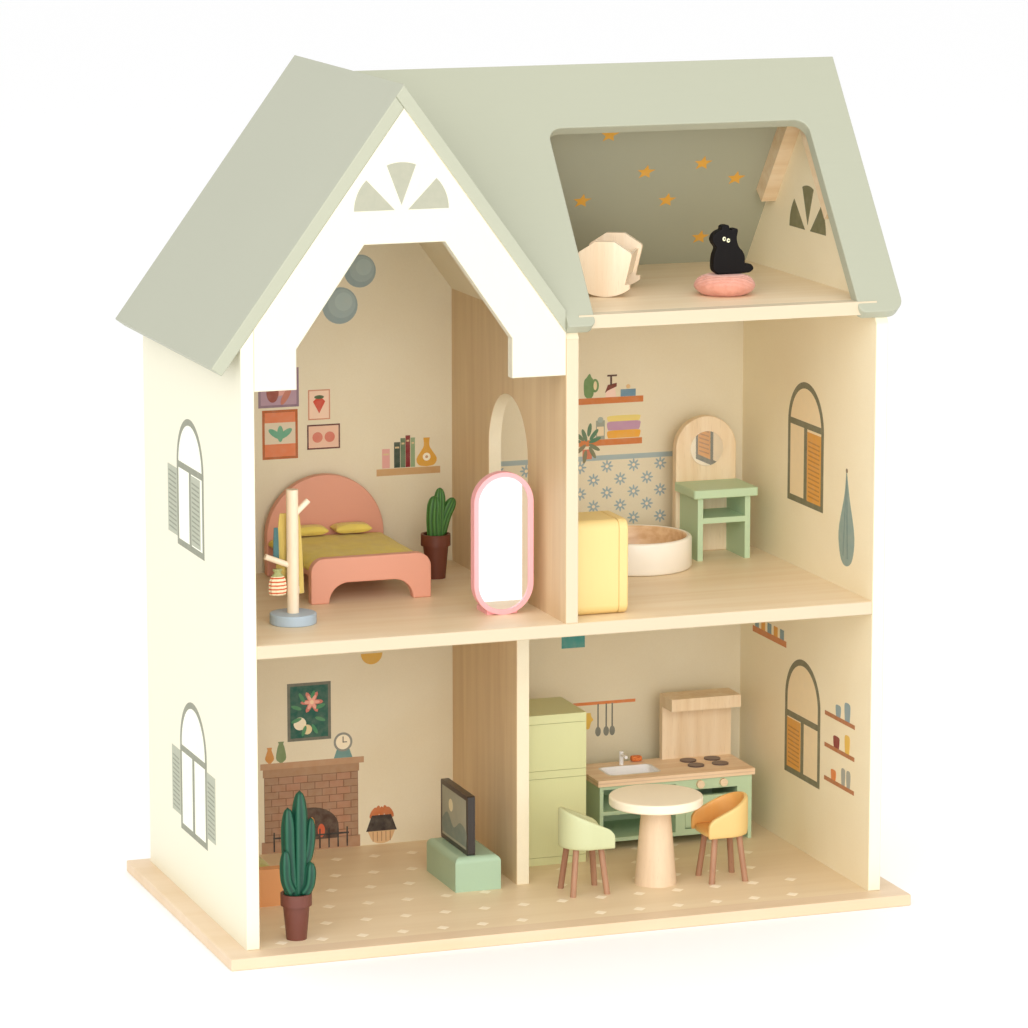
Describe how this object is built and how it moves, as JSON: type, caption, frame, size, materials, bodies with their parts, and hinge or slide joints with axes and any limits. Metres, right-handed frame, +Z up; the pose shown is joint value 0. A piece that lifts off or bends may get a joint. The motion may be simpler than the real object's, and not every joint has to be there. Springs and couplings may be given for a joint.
{
  "type": "dollhouse",
  "caption": "Wooden toy house with open front, gabled wing, roof window, printed-look rooms and loose furniture with opening fridge, oven and a rocking cradle.",
  "frame": {"origin": "middle of the base board's underside", "axes": "+Z up, +X towards the right-hand wall, -Y towards the open front"},
  "size_m": [0.5471, 0.301, 0.6419],
  "materials": {
    "cream_board": "satin",
    "warm_board": "satin",
    "white_board": "satin",
    "roof_board": "satin",
    "plywood": "satin",
    "pink_board": "satin",
    "blue_paint": "satin",
    "natural_wood": "satin",
    "mint_paint": "satin",
    "green_paint": "satin",
    "yellow_paint": "satin",
    "white_paint": "satin",
    "cactus_green": "satin",
    "pot_brown": "satin",
    "brown_wood": "satin",
    "dark_enamel": "satin",
    "mirror_glass": "satin",
    "quilt_cloth": "satin",
    "pillow_cloth": "satin",
    "coat_cloth": "satin",
    "bag_cloth": "satin",
    "pouffe_felt": "satin",
    "cat_black": "satin",
    "orange_paint": "satin",
    "sofa_cloth": "satin",
    "screen_black": "satin"
  },
  "bodies": {
    "house": {"base_board": "warm_board", "left_wall": "cream_board", "right_wall": "cream_board", "back_panel": "cream_board", "gable_back": "cream_board", "middle_floor": "warm_board", "attic_floor": "warm_board", "upper_partition": "cream_board", "lower_partition": "cream_board", "gable_front": "white_board", "gable_roof_left": "roof_board", "gable_roof_right": "roof_board", "main_roof_front": "roof_board", "main_roof_back": "roof_board", "roof_cleats": "natural_wood"},
    "bed": {"bed_headboard": "pink_board", "bed_footboard": "pink_board", "bed_deck": "pink_board"},
    "quilt": {"bed_quilt": "quilt_cloth"},
    "pillow_left": {"bed_pillow_left": "pillow_cloth"},
    "pillow_right": {"bed_pillow_right": "pillow_cloth"},
    "coat_rack": {"rack_foot": "blue_paint", "rack_post": "natural_wood"},
    "coat": {"rack_coat": "coat_cloth"},
    "bag": {"rack_bag": "bag_cloth"},
    "short_cactus": {"short_cactus_pot": "pot_brown", "short_cactus_plant": "cactus_green"},
    "standing_mirror": {"mirror_frame": "pink_board", "mirror_plate": "mirror_glass"},
    "washer": {"washing_machine": "yellow_paint"},
    "tub": {"bath_tub": "white_paint"},
    "vanity": {"vanity_table": "mint_paint", "vanity_back": "natural_wood", "vanity_mirror": "mirror_glass"},
    "cradle": {"cradle_ends": "natural_wood", "cradle_trough": "natural_wood"},
    "pouffe_seat": {"pouffe": "pouffe_felt"},
    "cat_figure": {"cat": "cat_black"},
    "fridge": {"fridge_body": "green_paint"},
    "fridge_lower": {"fridge_door_lower": "green_paint"},
    "fridge_upper": {"fridge_door_upper": "green_paint"},
    "kitchen": {"kitchen_cabinet": "mint_paint", "kitchen_worktop": "plywood", "kitchen_sink": "white_paint", "kitchen_burners": "dark_enamel", "kitchen_hood": "natural_wood", "oven_knobs": "natural_wood"},
    "oven": {"oven_door": "mint_paint"},
    "table": {"table_top": "white_board", "table_pedestal": "natural_wood"},
    "green_chair": {"green_chair_seat": "green_paint", "green_chair_legs": "brown_wood"},
    "yellow_chair": {"yellow_chair_seat": "yellow_paint", "yellow_chair_legs": "brown_wood"},
    "television": {"tv_screen": "screen_black", "tv_block": "mint_paint"},
    "tall_cactus": {"tall_cactus_pot": "pot_brown", "tall_cactus_plant": "cactus_green"},
    "sofa": {"sofa_frame": "orange_paint"},
    "sofa_seat": {"sofa_cushion": "sofa_cloth"}
  },
  "joints": [
    {"name": "bed_lift", "type": "slide", "parent": "house", "child": "bed", "axis": [0, 0, 1], "range_m": [0, 0.03]},
    {"name": "coat_rack_lift", "type": "slide", "parent": "house", "child": "coat_rack", "axis": [0, 0, 1], "range_m": [0, 0.03]},
    {"name": "short_cactus_lift", "type": "slide", "parent": "house", "child": "short_cactus", "axis": [0, 0, 1], "range_m": [0, 0.03]},
    {"name": "standing_mirror_lift", "type": "slide", "parent": "house", "child": "standing_mirror", "axis": [0, 0, 1], "range_m": [0, 0.03]},
    {"name": "washer_lift", "type": "slide", "parent": "house", "child": "washer", "axis": [0, 0, 1], "range_m": [0, 0.03]},
    {"name": "tub_lift", "type": "slide", "parent": "house", "child": "tub", "axis": [0, 0, 1], "range_m": [0, 0.03]},
    {"name": "vanity_lift", "type": "slide", "parent": "house", "child": "vanity", "axis": [0, 0, 1], "range_m": [0, 0.03]},
    {"name": "fridge_lift", "type": "slide", "parent": "house", "child": "fridge", "axis": [0, 0, 1], "range_m": [0, 0.03]},
    {"name": "kitchen_lift", "type": "slide", "parent": "house", "child": "kitchen", "axis": [0, 0, 1], "range_m": [0, 0.03]},
    {"name": "table_lift", "type": "slide", "parent": "house", "child": "table", "axis": [0, 0, 1], "range_m": [0, 0.03]},
    {"name": "television_lift", "type": "slide", "parent": "house", "child": "television", "axis": [0, 0, 1], "range_m": [0, 0.03]},
    {"name": "tall_cactus_lift", "type": "slide", "parent": "house", "child": "tall_cactus", "axis": [0, 0, 1], "range_m": [0, 0.03]},
    {"name": "sofa_lift", "type": "slide", "parent": "house", "child": "sofa", "axis": [0, 0, 1], "range_m": [0, 0.03]},
    {"name": "green_chair_lift", "type": "slide", "parent": "house", "child": "green_chair", "axis": [-1, 0, 0], "range_m": [0, 0.018]},
    {"name": "yellow_chair_lift", "type": "slide", "parent": "house", "child": "yellow_chair", "axis": [1, 0, 0], "range_m": [0, 0.03]},
    {"name": "pouffe_seat_lift", "type": "slide", "parent": "house", "child": "pouffe_seat", "axis": [0, 0, 1], "range_m": [0, 0.015]},
    {"name": "cat_figure_lift", "type": "slide", "parent": "pouffe_seat", "child": "cat_figure", "axis": [0, 0, 1], "range_m": [0, 0.012]},
    {"name": "quilt_lift", "type": "slide", "parent": "bed", "child": "quilt", "axis": [0, 0, 1], "range_m": [0, 0.02]},
    {"name": "pillow_left_lift", "type": "slide", "parent": "quilt", "child": "pillow_left", "axis": [0, 0, 1], "range_m": [0, 0.015]},
    {"name": "pillow_right_lift", "type": "slide", "parent": "quilt", "child": "pillow_right", "axis": [0, 0, 1], "range_m": [0, 0.015]},
    {"name": "sofa_seat_lift", "type": "slide", "parent": "sofa", "child": "sofa_seat", "axis": [0, 0, 1], "range_m": [0, 0.02]},
    {"name": "coat_lift", "type": "slide", "parent": "coat_rack", "child": "coat", "axis": [0.7314, 0, 0.682], "range_m": [0, 0.012]},
    {"name": "bag_lift", "type": "slide", "parent": "coat_rack", "child": "bag", "axis": [-0.9272, 0, 0.3746], "range_m": [0, 0.012]},
    {"name": "cradle_rock", "type": "hinge", "parent": "house", "child": "cradle", "pos_m": [0.0726, -0.0174, 0.5003], "axis": [0.4848, 0.8746, 0], "range_deg": [-14, 14]},
    {"name": "fridge_lower_hinge", "type": "hinge", "parent": "fridge", "child": "fridge_lower", "pos_m": [0.0165, 0.028, 0.05], "axis": [0, 0, -1], "range_deg": [0, 90]},
    {"name": "fridge_upper_hinge", "type": "hinge", "parent": "fridge", "child": "fridge_upper", "pos_m": [0.0165, 0.028, 0.104], "axis": [0, 0, -1], "range_deg": [0, 90]},
    {"name": "oven_hinge", "type": "hinge", "parent": "kitchen", "child": "oven", "pos_m": [0.1865, 0.0525, 0.0233], "axis": [1, 0, 0], "range_deg": [0, 90]}
  ]
}
